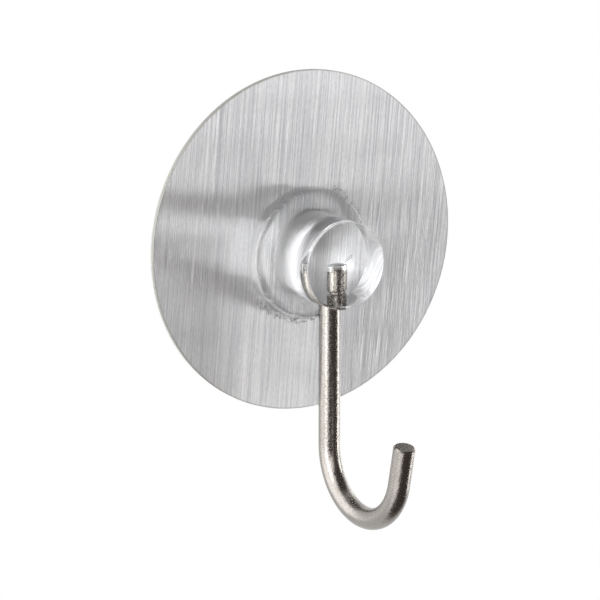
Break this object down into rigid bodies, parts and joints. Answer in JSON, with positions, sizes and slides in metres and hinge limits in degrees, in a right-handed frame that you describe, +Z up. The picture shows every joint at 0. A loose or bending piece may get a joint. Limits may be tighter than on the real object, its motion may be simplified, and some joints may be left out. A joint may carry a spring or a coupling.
{
  "type": "adhesive wall hook",
  "caption": "Round brushed-foil sticker with a clear flanged knob glued to its front and a bent wire J hook that swivels in the knob, for hanging light things on a smooth wall.",
  "frame": {"origin": "centre of the sticker's sticky back face, on the wall's plane", "axes": "+Z up, +Y into the wall, the hook stands out along -Y, +X to the right of someone facing the wall"},
  "size_m": [0.06, 0.0332, 0.0772],
  "materials": {
    "adhesive": "tacky clear acrylic",
    "carrier": "clear polyester sheet with a cut edge",
    "foil": "brushed, grain upright",
    "glue": "clear cured glue",
    "clear_plastic": "clear, polished",
    "plated_wire": "satin nickel plate"
  },
  "bodies": {
    "plate": {"adhesive_pad": "adhesive", "carrier_sheet": "carrier", "brushed_foil": "foil", "glue_film": "glue", "clear_knob": "clear_plastic"},
    "hook": {"hook_wire": "plated_wire"}
  },
  "joints": [
    {"name": "hook_swivel", "type": "hinge", "parent": "plate", "child": "hook", "pos_m": [0, -0.009, -0.0065], "axis": [0, 0, 1], "range_deg": [-90, 90]}
  ]
}
